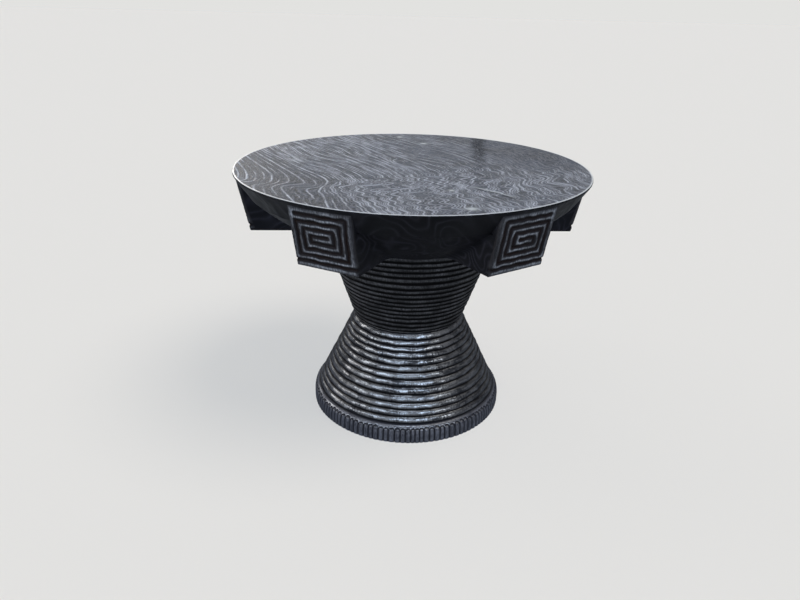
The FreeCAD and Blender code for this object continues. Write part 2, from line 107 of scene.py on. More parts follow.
def skin(name, rows, hollow, wear_and_highlight):
    """Closed mesh over rows of points, each a ring; hollowness and wear with painted highlight are
    kept per point.
    """
    rows = np.asarray(rows)
    count, across = rows.shape[:2]
    ends = [rows[0].mean(axis=0), rows[-1].mean(axis=0)]
    points = np.concatenate([rows.reshape(-1, 3), ends])
    first = np.arange(across)
    second = (first + 1) % across
    faces = []
    for row in range(count - 1):
        low, high = row * across, (row + 1) * across
        faces += np.stack(
            [low + first, low + second, high + second, high + first], axis=1
        ).tolist()
    foot, head = count * across, count * across + 1
    last = (count - 1) * across
    faces += np.stack([second, first, np.full(across, foot)], axis=1).tolist()
    faces += np.stack([last + first, last + second, np.full(across, head)], axis=1).tolist()
    mesh = bpy.data.meshes.new(name)
    mesh.from_pydata(points.tolist(), [], faces)
    for label, values in (("hollow", hollow), ("wear_and_highlight", wear_and_highlight)):
        held = mesh.attributes.new(label, "FLOAT", "POINT")
        filled = np.append(np.asarray(values).ravel(), [0, 0])
        held.data.foreach_set("value", filled.astype(np.float32))
    mesh.shade_smooth()
    mesh.set_sharp_from_angle(angle=math.radians(50))
    piece = bpy.data.objects.new(name, mesh)
    bpy.context.scene.collection.objects.link(piece)
    return piece


def feed(tree, made, inputs):
    """Set a node's inputs from values, or link them from sockets."""
    for name, value in inputs.items():
        if isinstance(value, bpy.types.NodeSocket):
            tree.links.new(value, made.inputs[name])
        else:
            made.inputs[name].default_value = value


def node(tree, kind, inputs=None, **settings):
    """Place a shader node, set it, and feed its inputs."""
    made = tree.nodes.new(kind)
    for name, value in settings.items():
        setattr(made, name, value)
    feed(tree, made, inputs or {})
    return made


def calc(tree, operation, *values):
    """Math node over numbers or sockets; returns its output socket."""
    return node(
        tree, "ShaderNodeMath", dict(enumerate(values)), operation=operation
    ).outputs[0]


def spread(tree, value, low, high, to_low=0.0, to_high=1.0):
    """Stretch value from low..high onto to_low..to_high, held at both ends."""
    inputs = {0: value, 1: low, 2: high, 3: to_low, 4: to_high}
    return node(tree, "ShaderNodeMapRange", inputs).outputs[0]


def blend_colours(tree, share, first, second):
    """Mix two colours or colour sockets; returns the colour socket."""
    made = node(tree, "ShaderNodeMix", data_type="RGBA")
    feed(tree, made, {0: share, 6: first, 7: second})
    return made.outputs[2]


def noise(tree, vector, scale, detail, dimensions="3D", **more):
    """Cloudy noise over a vector, 0 to 1; returns its socket."""
    inputs = {"Vector": vector, "Scale": scale, "Detail": detail, **more}
    return node(
        tree, "ShaderNodeTexNoise", inputs, noise_dimensions=dimensions
    ).outputs[0]


def kept(tree, label):
    """Value that the mesh keeps per point under this label; returns its socket."""
    return node(tree, "ShaderNodeAttribute", attribute_name=label).outputs["Fac"]


def object_point(tree):
    """Place on the object, in metres; returns its socket."""
    return node(tree, "ShaderNodeTexCoord").outputs["Object"]


def paint(red, green, blue):
    """Linear colour from the red, green and blue of a screen, 0 to 255."""
    def channel(value):
        value /= 255
        return value / 12.92 if value <= 0.04045 else ((value + 0.055) / 1.055) ** 2.4
    return (channel(red), channel(green), channel(blue), 1)


def new_finish(name):
    """Material with nodes; returns it, its node tree and its shader."""
    material = bpy.data.materials.new(name)
    material.use_nodes = True
    return material, material.node_tree, material.node_tree.nodes["Principled BSDF"]


def roughen(tree, shader, height, depth):
    """Tilt the shader's normal by a height, as if cut to this depth."""
    bump = node(tree, "ShaderNodeBump", {"Height": height, "Distance": depth, "Strength": 1})
    feed(tree, shader, {"Normal": bump.outputs[0]})


def new_group(name, takes, gives):
    """Empty node group with named sockets; returns its tree, entry and exit nodes."""
    tree = bpy.data.node_groups.new(name, "ShaderNodeTree")
    for label, kind in takes:
        tree.interface.new_socket(label, in_out="INPUT", socket_type=kind)
    for label, kind in gives:
        tree.interface.new_socket(label, in_out="OUTPUT", socket_type=kind)
    return tree, tree.nodes.new("NodeGroupInput"), tree.nodes.new("NodeGroupOutput")


def long_grain_group():
    """Fine streaks and open pores that run along Z of the point it is given."""
    tree, entry, leave = new_group(
        "long_grain",
        [("Point", "NodeSocketVector"), ("Width", "NodeSocketFloat"),
         ("Length", "NodeSocketFloat")],
        [("Streaks", "NodeSocketFloat"), ("Pores", "NodeSocketFloat")],
    )
    split = node(tree, "ShaderNodeSeparateXYZ", {0: entry.outputs["Point"]})
    across = [calc(tree, "DIVIDE", split.outputs[i], entry.outputs["Width"]) for i in (0, 1)]
    along = calc(tree, "DIVIDE", split.outputs[2], entry.outputs["Length"])
    stretched = node(
        tree, "ShaderNodeCombineXYZ", {0: across[0], 1: across[1], 2: along}
    ).outputs[0]
    streaks = noise(tree, stretched, scale=1, detail=4)
    pores = noise(tree, stretched, scale=2.6, detail=2)
    feed(tree, leave, {
        "Streaks": spread(tree, streaks, 0.36, 0.64), "Pores": spread(tree, pores, 0.58, 0.7),
    })
    return tree


def char_group():
    """Black stain over brown wood: colour from how hollow and how worn a place is, with painted
    highlight on the crests and painted shade in the hollows.
    """
    tree, entry, leave = new_group(
        "char",
        [("Body", "NodeSocketColor"), ("Crest", "NodeSocketColor"),
         ("Floor", "NodeSocketColor"), ("Hollow", "NodeSocketFloat"),
         ("Wear_and_highlight", "NodeSocketFloat"), ("Streaks", "NodeSocketFloat"),
         ("Point", "NodeSocketVector")],
        [("Color", "NodeSocketColor"), ("Roughness", "NodeSocketFloat"),
         ("Polish", "NodeSocketFloat")],
    )
    patches = spread(
        tree, noise(tree, entry.outputs["Point"], scale=30, detail=5), 0.36, 0.62
    )
    rubbed_and_highlit = calc(
        tree, "MULTIPLY", entry.outputs["Wear_and_highlight"],
        calc(tree, "MULTIPLY_ADD", entry.outputs["Streaks"], 0.75, 0.25),
    )
    rubbed_and_highlit = calc(
        tree, "MULTIPLY", rubbed_and_highlit, calc(tree, "MULTIPLY_ADD", patches, 0.55, 0.45)
    )
    sealed = calc(
        tree, "MULTIPLY", entry.outputs["Wear_and_highlight"],
        spread(
            tree, calc(tree, "MULTIPLY_ADD", patches, 0.3, entry.outputs["Streaks"]),
            0.08, 0.6, 0.12, 1.0,
        ),
    )
    # Crest colour where worn, carrying painted highlights too.
    colour = blend_colours(tree, rubbed_and_highlit, entry.outputs["Body"], entry.outputs["Crest"])
    # Hollows are painted brown and darker: bare wood with painted shade.
    brown_and_shade = calc(
        tree, "MULTIPLY", entry.outputs["Hollow"],
        calc(tree, "MULTIPLY_ADD", patches, 0.5, 0.5),
    )
    colour = blend_colours(tree, brown_and_shade, colour, entry.outputs["Floor"])
    rough = calc(tree, "MULTIPLY_ADD", rubbed_and_highlit, -0.2, 0.7)
    rough = calc(tree, "MULTIPLY_ADD", entry.outputs["Hollow"], 0.2, rough)
    feed(tree, leave, {"Color": colour, "Polish": sealed, "Roughness": rough})
    return tree


long_grain = long_grain_group()
char = char_group()


def carved_finish(name, body, crest, floor, grain_width, grain_length, relief, seal, marks):
    """Blackened carved wood, sealed; relief is the grain's depth, marks the tool's share."""
    material, tree, shader = new_finish(name)
    point = object_point(tree)
    hollow = kept(tree, "hollow")
    grain = node(
        tree, "ShaderNodeGroup",
        {"Point": point, "Width": grain_width, "Length": grain_length},
        node_tree=long_grain,
    )
    # Marks of the tool: thin level bands, some nine times as long as they are high
    level_bands = node(
        tree, "ShaderNodeMapping", {"Vector": point, "Scale": (45, 45, 420)}
    ).outputs[0]
    tool = noise(tree, level_bands, scale=1, detail=4)
    tool = spread(tree, tool, 0.38, 0.6, 1.0 - marks, 1.0)
    streaks = calc(tree, "MULTIPLY", grain.outputs["Streaks"], tool)
    black = node(
        tree, "ShaderNodeGroup",
        {"Body": body, "Crest": crest, "Floor": floor, "Hollow": hollow,
         "Wear_and_highlight": kept(tree, "wear_and_highlight"), "Point": point, "Streaks": streaks},
        node_tree=char,
    )
    roughen(tree, shader, calc(tree, "SUBTRACT", streaks, grain.outputs["Pores"]), relief)
    facing = node(tree, "ShaderNodeLayerWeight", {"Blend": 0.68}).outputs["Facing"]
    polish = calc(tree, "MULTIPLY", black.outputs["Polish"], seal)
    feed(tree, shader, {
        "Base Color": black.outputs["Color"],
        "Roughness": black.outputs["Roughness"],
        "Coat Weight": calc(tree, "MULTIPLY", polish, calc(tree, "SUBTRACT", 1.0, facing)),
        "Coat Roughness": 0.24,
        "Coat IOR": 2.0,
        "Specular IOR Level": 0.04,
    })
    return material


def second_finish(piece, material, chosen):
    """Give a piece a further material on the faces whose middles are chosen."""
    piece.data.materials.append(material)
    for face in piece.data.polygons:
        if chosen(face.center):
            face.material_index = len(piece.data.materials) - 1


def reed_plinth():
    rng = np.random.default_rng(141)
    widths = rng.uniform(*REED_WIDTHS, REED_COUNT)
    edges = np.concatenate([[0], np.cumsum(widths)]) * FULL_TURN / widths.sum()
    uneven = rng.uniform(-REED_HEAD_UNEVENNESS, REED_HEAD_UNEVENNESS, REED_COUNT)
    head_levels = REED_HEAD_LEVEL + uneven * MM
    share = (1 - np.cos(np.linspace(0, math.pi, POINTS_ACROSS_REED + 1)[:-1])) / 2
    reed = np.repeat(np.arange(REED_COUNT), POINTS_ACROSS_REED)
    turns = edges[reed] + np.tile(share, REED_COUNT) * (edges[reed + 1] - edges[reed])
    half = (edges[reed + 1] - edges[reed]) / 2 * PLINTH_RADIUS
    aside = np.abs(np.tile(share, REED_COUNT) * 2 - 1) * half
    unevenness = swing(rng, turns, 3, 14, 0.35) * MM
    rows, hollow, wear_and_highlight = [], [], []
    for level in np.minimum(EDGE_LEVELS * MM, PLINTH_HEIGHT):
        slope = np.clip((level - LIP_LEVEL) / (PLINTH_HEIGHT - LIP_LEVEL), 0, 1)
        surface = PLINTH_RADIUS - (PLINTH_RADIUS - LIP_HEAD_RADIUS) * slope
        above = np.maximum(level - (head_levels[reed] - half), 0)
        from_middle = np.sqrt(aside ** 2 + above ** 2)
        inside = np.clip(from_middle / half, 0, 1)
        round_cut = REED_DEPTH * (1 - np.sqrt(1 - inside ** REED_ROUNDNESS))
        past = np.clip((from_middle - half) / REED_HEAD_CUT, 0, 1)
        cut = round_cut * (1 - past) ** 2
        sunk = np.clip(cut / REED_DEPTH, 0, 1)
        eased = FOOT_EASE * np.clip(1 - level / FOOT_EASE_LEVEL, 0, 1) ** 2
        eased = eased + SHOULDER_CUT * math.exp(-((level - LIP_LEVEL) / SHOULDER_REACH) ** 2)
        neck = np.clip((level - LIP_SHOULDER_LEVEL) / (PLINTH_HEIGHT - LIP_SHOULDER_LEVEL), 0, 1)
        radius = surface - cut - eased - EDGE_INSET + unevenness - NECK_CUT * neck ** 2
        rows.append(ring_of(radius, turns, level))
        # Painted shade: reed gaps and the neck groove are painted near black.
        hollow.append(np.maximum(sunk ** 1.1, neck))
        # The lip is painted lighter than the reeds: wear with a painted sheen.
        rub_and_highlight = np.where(past > 0, 1.0, REED_RUB_AND_HIGHLIGHT)
        wear_and_highlight.append(np.clip(1 - sunk * 2, 0, 1) * rub_and_highlight * (1 - neck))
    blank = np.zeros_like(turns)
    for radius, level in ((RECESS_RADIUS, PLINTH_HEIGHT), (RECESS_RADIUS, RECESS_LEVEL)):
        rows.append(ring_of(radius, turns, level))
        hollow.append(blank)
        wear_and_highlight.append(blank)
    return skin("reeded_plinth", rows, hollow, wear_and_highlight)


reeded_plinth = reed_plinth()
reeded_plinth.data.materials.append(carved_finish(
    "reeded_black", paint(32, 32, 37), paint(66, 68, 79), paint(6, 5, 5),
    grain_width=1.8 * MM, grain_length=8 * MM, relief=0.3 * MM, seal=1.0, marks=0.5,
))
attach(reeded_plinth, "root")
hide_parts("plinth")

# Lower cone: turned blackened hardwood that widens down to the plinth. Broad
# rounded rings are cut round it by hand, in short tool flats, with a narrow
# brown groove under each, painted darker there as painted shade. Each ring's
# upper crest is painted lighter as a painted highlight. It has a mortise at the
# waist and a tenon at the foot.
WAIST_LEVEL = 177.4 * MM
WAIST_RADIUS = 102.5 * MM
LOWER_RING_HEIGHTS = (
    11.3, 10.7, 10.6, 12.4, 12.8, 11.2, 11.1, 11.0, 11.1, 10.1, 9.6, 9.9, 11.3
)
LOWER_GROOVE_DEPTH = 3.9 * MM
WAIST_TENON_RADIUS = 48 * MM
WAIST_MORTISE_LEVEL = 127.1 * MM
FOOT_TENON_RADIUS = 90 * MM
FOOT_TENON_LEVEL = 12 * MM
FIT = 0.3 * MM
POINTS_UP_RING = 13
POINTS_ROUND_CONE = 540


def tool_flats(rng, turns, shortest, longest, radius):
    """How far a surface cut in short flats lies inside a true round one."""
    marks = [0.0]
    while marks[-1] < FULL_TURN:
        marks.append(marks[-1] + rng.uniform(shortest, longest) / radius)
    marks = np.array(marks) * FULL_TURN / marks[-1]
    which = np.clip(np.searchsorted(marks, turns, side="right") - 1, 0, len(marks) - 2)
    half = (marks[which + 1] - marks[which]) / 2
    aside = turns - marks[which] - half
    return radius * (half ** 2 - aside ** 2) / 2


def ringed_rows(seed, turns, grooves, radius_at, depth, squareness, flats, rub_and_highlight):
    """Rows of points up a cone of rings, with how hollow and how worn each place is; the wear is
    lighter on each ring's upper crest, a painted highlight.
    """
    rng = np.random.default_rng(seed)
    wavy = []
    for level in grooves:
        wavy.append(level + swing(rng, turns, 2, 24, 0.7) * MM)
    wavy[0] = np.full_like(turns, grooves[0])
    wavy[-1] = np.full_like(turns, grooves[-1])
    up = (1 - np.cos(np.linspace(0, math.pi, POINTS_UP_RING))) / 2
    rows, hollow, wear_and_highlight = [], [], []
    for ring in range(len(grooves) - 1):
        low, high = wavy[ring], wavy[ring + 1]
        base = radius_at((grooves[ring] + grooves[ring + 1]) / 2)
        lower_flats = tool_flats(rng, turns, *flats, base)
        upper_flats = tool_flats(rng, turns, *flats, base)
        deeper = depth * (1 + swing(rng, turns, 3, 30, 0.18))
        bulge = swing(rng, turns, 3, 30, 0.35) * MM
        for share in up[:-1] if ring < len(grooves) - 2 else up:
            level = low + (high - low) * share
            inset = 1 - (1 - np.abs(2 * share - 1) ** squareness) ** (1 / squareness)
            flat = lower_flats + (upper_flats - lower_flats) * share
            radius = radius_at(level) - deeper * inset - flat + bulge * (1 - inset)
            rows.append(ring_of(radius, turns, level))
            aside = abs(2 * share - 1)
            # Painted shade: the groove is painted darker and browner.
            hollow.append(np.full_like(turns, np.clip((aside - 0.62) / 0.24, 0, 1)))
            # Painted highlight: each ring's upper crest is painted lighter, with its wear.
            lit_side = 1 - (2 * share - 1.15) ** 2 * rub_and_highlight
            wear_and_highlight.append(np.full_like(turns, np.clip(1.3 * lit_side, 0, 1)))
    return rows, hollow, wear_and_highlight


def add_plain_rings(rows, hollow, wear_and_highlight, turns, profile, below=False):
    """Add smooth turned rings, given as radius and level, at one end of a skin."""
    plain = [ring_of(radius, turns, level) for radius, level in profile]
    blank = [np.zeros_like(turns)] * len(plain)
    if below:
        return plain + rows, blank + hollow, blank + wear_and_highlight
    return rows + plain, hollow + blank, wear_and_highlight + blank


def ringed_lower_cone():
    turns = np.linspace(0, FULL_TURN, POINTS_ROUND_CONE, endpoint=False)
    grooves = PLINTH_HEIGHT + np.concatenate([[0], np.cumsum(LOWER_RING_HEIGHTS)]) * (
        (WAIST_LEVEL - PLINTH_HEIGHT) / sum(LOWER_RING_HEIGHTS)
    )
    slope = (LIP_HEAD_RADIUS - WAIST_RADIUS) / (WAIST_LEVEL - PLINTH_HEIGHT)
    rows, hollow, wear_and_highlight = ringed_rows(
        13, turns, grooves, lambda level: LIP_HEAD_RADIUS - slope * (level - PLINTH_HEIGHT),
        LOWER_GROOVE_DEPTH, squareness=2.6, flats=(14 * MM, 38 * MM), rub_and_highlight=1.1,
    )
    rows, hollow, wear_and_highlight = add_plain_rings(rows, hollow, wear_and_highlight, turns, [
        (FOOT_TENON_RADIUS, FOOT_TENON_LEVEL), (FOOT_TENON_RADIUS, PLINTH_HEIGHT),
    ], below=True)
    rows, hollow, wear_and_highlight = add_plain_rings(rows, hollow, wear_and_highlight, turns, [
        (WAIST_TENON_RADIUS + FIT, WAIST_LEVEL),
        (WAIST_TENON_RADIUS + FIT, WAIST_MORTISE_LEVEL),
    ])
    return skin("ringed_lower_cone", rows, hollow, wear_and_highlight)


lower_cone = ringed_lower_cone()
lower_cone.data.materials.append(carved_finish(
    "ringed_black", paint(11, 11, 14), paint(42, 45, 54), paint(7, 4, 3),
    grain_width=2.2 * MM, grain_length=9 * MM, relief=0.6 * MM, seal=1.0, marks=0.95,
))
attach(lower_cone, "root")
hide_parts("lower_cone")

# Upper cone: the same turned and hand-ringed wood, widening up from the waist.
# Its rings are closer and lower. A tenon goes down into the lower cone, and a
# long spindle goes up through the apron's core into the slab.
APRON_LEVEL = 340 * MM
NECK_RADIUS = 158.6 * MM
UPPER_RING_HEIGHTS = (
    3.5, 9.5, 9.4, 10.5, 8.0, 9.1, 9.0, 7.7, 9.9, 9.8, 9.6, 12.6, 12.5, 10.2, 10.0,
    9.9, 11.4
)
UPPER_GROOVE_DEPTH = 3.3 * MM
SPINDLE_RADIUS = 55 * MM
SPINDLE_LEVEL = 436 * MM


def ringed_upper_cone():
    turns = np.linspace(0, FULL_TURN, POINTS_ROUND_CONE, endpoint=False)
    grooves = WAIST_LEVEL + np.concatenate([[0], np.cumsum(UPPER_RING_HEIGHTS)]) * (
        (APRON_LEVEL - WAIST_LEVEL) / sum(UPPER_RING_HEIGHTS)
    )
    slope = (NECK_RADIUS - WAIST_RADIUS) / (APRON_LEVEL - WAIST_LEVEL)
    rows, hollow, wear_and_highlight = ringed_rows(
        16, turns, grooves, lambda level: WAIST_RADIUS + slope * (level - WAIST_LEVEL),
        UPPER_GROOVE_DEPTH, squareness=2.2, flats=(12 * MM, 34 * MM), rub_and_highlight=3.2,
    )
    rows, hollow, wear_and_highlight = add_plain_rings(rows, hollow, wear_and_highlight, turns, [
        (WAIST_TENON_RADIUS, WAIST_MORTISE_LEVEL + FIT),
        (WAIST_TENON_RADIUS, WAIST_LEVEL),
    ], below=True)
    rows, hollow, wear_and_highlight = add_plain_rings(rows, hollow, wear_and_highlight, turns, [
        (SPINDLE_RADIUS, APRON_LEVEL), (SPINDLE_RADIUS, SPINDLE_LEVEL),
    ])
    return skin("ringed_upper_cone", rows, hollow, wear_and_highlight)


upper_cone = ringed_upper_cone()
# Its black is painted darker than the lower cone's as painted shade under the slab; the narrow
# lighter crest line on each ring is a painted highlight.
upper_cone.data.materials.append(carved_finish(
    "shaded_black", paint(3, 3, 3), paint(78, 76, 76), paint(3, 2, 2),
    grain_width=1.8 * MM, grain_length=10 * MM, relief=0.4 * MM, seal=0.15, marks=0.8,
))
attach(upper_cone, "root")
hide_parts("upper_cone")

# Core and keys: plain brown hardwood, sawn and left bare, as nobody sees it. The
# core is glued on the spindle. The keys join the blocks to it and to each other.


def bare_wood():
    material, tree, shader = new_finish("bare_brown")
    grain = node(
        tree, "ShaderNodeGroup",
        {"Point": object_point(tree), "Width": 2.4 * MM, "Length": 60 * MM},
        node_tree=long_grain,
    )
    streaks = grain.outputs["Streaks"]
    colour = blend_colours(tree, streaks, paint(132, 96, 66), paint(96, 66, 44))
    colour = blend_colours(tree, grain.outputs["Pores"], colour, paint(66, 44, 30))
    rough = calc(tree, "MULTIPLY_ADD", streaks, 0.2, 0.6)
    feed(tree, shader, {"Base Color": colour, "Roughness": rough})
    roughen(tree, shader, streaks, 0.2 * MM)
    return material


bare_brown = bare_wood()
for hidden in ("apron_core", "core_keys", "seam_keys"):
    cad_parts[hidden].data.materials.clear()
    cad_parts[hidden].data.materials.append(bare_brown)

# Apron blocks: six sixths of the scooped apron, each with a leaning block in the
# middle whose face is cut with a square spiral of rounded ridges. Carved with
# gouges, blackened, rubbed lighter on the ridges and painted lighter still there,
# a painted highlight. Coves run into the block's sides, painted near black as
# painted shade.
BLOCK_COUNT = 6
FIRST_BLOCK_BEARING = math.radians(-115.5)
SEAM_BEARING = math.pi / BLOCK_COUNT
SLAB_LEVEL = 416 * MM
SLAB_FOOT_RADIUS = 281 * MM
HEAD_LEVEL = 447 * MM
UNDERSIDE_LEVEL = 351 * MM
HALF_BLOCK = 52 * MM
FACE_FOOT_REACH = 278 * MM
FACE_LEAN = 20 * MM
HOUSING_REACH = 254 * MM
BOWL_FOOT_RADIUS = 165 * MM
BOWL_BULGE = 33.5 * MM
TOP_RING_RADIUS = 162.5 * MM
COVE_FOOT_RADIUS = 26 * MM
COVE_HEAD_RADIUS = 9 * MM
CORE_RADIUS = 150 * MM
RIDGE_PITCH = 10.9 * MM
RELIEF_DEPTH = 3.3 * MM
BLOCK_ARRIS = 2.2 * MM
# How far behind the face its rubbed finish, with painted highlight, reaches
FACE_SKIN = 6 * MM
WOBBLE_LENGTH = 17 * MM
CHATTER_LENGTH = 5 * MM
TURN_OF_RIDGE = 4 * MM
MARGIN_DARK = 1 * MM
MARGIN_REACH = 6 * MM
SCOOP_LENGTH = 26 * MM
# Points of half an outline beside the face: the block's side, its cove and the bowl
POINTS_ASIDE = {"side": 10, "cove": 12, "bowl": 20}
POINTS_ACROSS_FACE = 95
POINTS_UP_FACE = 88
# Shares of the way up the thin ring and out under the block that carry an outline
RING_SHARES = (0, 0.08, 0.25, 0.5, 0.75, 0.92, 1)
UNDERSIDE_SHARES = (0, 0.04, 0.15, 0.3, 0.45, 0.6, 0.75, 0.88, 0.96)


def square_spiral(face_length):
    """Corners of the groove's middle line, winding in from the upper right."""
    corners = []
    for lap in range(1, 5):
        right = HALF_BLOCK - RIDGE_PITCH * max(lap - 1, 1)
        left = RIDGE_PITCH * lap - HALF_BLOCK
        upper = face_length - RIDGE_PITCH * lap
        lower = RIDGE_PITCH * (lap + 1)
        corners.append((right, upper))
        corners.append((left, upper))
        if upper - lower < RIDGE_PITCH:
            break
        corners.append((left, lower))
        corners.append((HALF_BLOCK - RIDGE_PITCH * lap, lower))
    return corners


def distance_to_line(across, up, corners):
    """Distance from each place on the face to the line through the corners."""
    nearest = np.full(across.shape, 1.0)
    for (x0, y0), (x1, y1) in zip(corners, corners[1:]):
        run_x, run_y = x1 - x0, y1 - y0
        share = ((across - x0) * run_x + (up - y0) * run_y) / (run_x ** 2 + run_y ** 2)
        share = np.clip(share, 0, 1)
        gap = np.hypot(across - x0 - share * run_x, up - y0 - share * run_y)
        nearest = np.minimum(nearest, gap)
    return nearest


def face_relief(across, up, face_length, seed):
    """How far the carving lies behind the face, and how hollow and worn it is; level ridges get a
    painted highlight.
    """
    flat = np.stack([across, up, np.zeros_like(across)], axis=-1)
    wobble_x = across + swells(flat, WOBBLE_LENGTH, seed) * 0.55 * MM
    wobble_y = up + swells(flat, WOBBLE_LENGTH, seed + 1) * 0.55 * MM
    corners = square_spiral(face_length)
    lying, upright = [np.abs(wobble_y - RIDGE_PITCH)], []
    for number in range(len(corners) - 1):
        part = distance_to_line(wobble_x, wobble_y, corners[number:number + 2])
        (upright if number % 2 else lying).append(part)
    lying, upright = np.minimum.reduce(lying), np.minimum.reduce(upright)
    groove = np.minimum(lying, upright)
    half = RIDGE_PITCH / 2
    near = 1 - np.clip(groove / half, 0, 1)
    depth = RELIEF_DEPTH * (1 + 0.25 * swells(flat, 30 * MM, seed + 2))
    cut = depth * (1 - np.sqrt(1 - near ** 2.2))
    edge = np.minimum(HALF_BLOCK - np.abs(across), np.minimum(up, face_length - up))
    shoulder = np.clip(1 - edge / BLOCK_ARRIS, 0, 1)
    eased = BLOCK_ARRIS * (1 - np.sqrt(1 - shoulder ** 2))
    chatter = 0.22 * MM * swells(flat, CHATTER_LENGTH, seed + 3)
    hollow = np.clip(near ** 2.2 * 1.5 - 0.25, 0, 1)
    # Painted highlight: level ridges are painted lighter than upright ones, as if lit from above.
    level_ridge_highlight = np.clip(0.5 + (upright - lying) / TURN_OF_RIDGE, 0, 1)
    wear_and_highlight = np.clip(1 - near * 2.7, 0, 1) * (0.4 + 0.6 * level_ridge_highlight)
    # The carving is painted darker towards the face's edges.
    wear_and_highlight = wear_and_highlight * np.clip((edge - MARGIN_DARK) / MARGIN_REACH, 0.12, 1)
    return np.maximum(cut + chatter, 0) + eased, hollow, np.clip(wear_and_highlight, 0, 1)


def bowl_radius(level):
    share = (level - APRON_LEVEL) / (SLAB_LEVEL - APRON_LEVEL)
    rise = SLAB_FOOT_RADIUS - BOWL_FOOT_RADIUS + BOWL_BULGE
    return BOWL_FOOT_RADIUS + rise * share - BOWL_BULGE * share ** 2


def beside_block(level, front, kind):
    """Half outline from the block's front edge to the seam, as distances out and aside."""
    share = (level - APRON_LEVEL) / (SLAB_LEVEL - APRON_LEVEL)
    cove = COVE_FOOT_RADIUS + (COVE_HEAD_RADIUS - COVE_FOOT_RADIUS) * share
    bowl = bowl_radius(level)
    centre_out = math.sqrt((bowl + cove) ** 2 - (HALF_BLOCK + cove) ** 2)
    start = math.atan2(HALF_BLOCK + cove, centre_out)
    steps = {part: np.linspace(0, 1, count + 1)[1:] for part, count in POINTS_ASIDE.items()}
    if kind == "head":
        out = front + (HOUSING_REACH - front) * steps["side"]
        points = [(x, HALF_BLOCK) for x in out]
        inward = np.concatenate([steps["cove"], 1 + steps["bowl"]]) / 2
        points += [(HOUSING_REACH, HALF_BLOCK * (1 - s * 0.9)) for s in inward]
        return points
    if kind == "ring":
        edge = math.atan2(HALF_BLOCK, math.sqrt(TOP_RING_RADIUS ** 2 - HALF_BLOCK ** 2))
        bearings = np.concatenate([
            edge + (start - edge) * np.concatenate([steps["side"] / 2, 0.5 + steps["cove"] / 2]),
            start + (SEAM_BEARING - start) * steps["bowl"],
        ])
        swell = np.clip((bearings - edge) / (start - edge), 0, 1)
        swell = swell ** 2 * (3 - 2 * swell)
        radius = TOP_RING_RADIUS + (bowl - TOP_RING_RADIUS) * swell
        return list(zip(radius * np.cos(bearings), radius * np.sin(bearings)))
    points = [(front + (centre_out - front) * s, HALF_BLOCK) for s in steps["side"]]
    for s in steps["cove"]:
        sweep = (math.pi / 2 - start) * s
        points.append((
            centre_out - cove * math.sin(sweep),
            HALF_BLOCK + cove - cove * math.cos(sweep),
        ))
    for s in steps["bowl"]:
        bearing = start + (SEAM_BEARING - start) * s
        points.append((bowl * math.cos(bearing), bowl * math.sin(bearing)))
    return points


def inner_outline(kind):
    """Half outline from the seam in to the core and round to the block's middle."""
    bearings = SEAM_BEARING * np.array([1, 0.8, 0.6, 0.4, 0.2])
    if kind == "head":
        return [(HOUSING_REACH, HALF_BLOCK * 0.1 * (1 - s)) for s in (0, 0.2, 0.4, 0.6, 0.8)]
    return list(zip(CORE_RADIUS * np.cos(bearings), CORE_RADIUS * np.sin(bearings)))


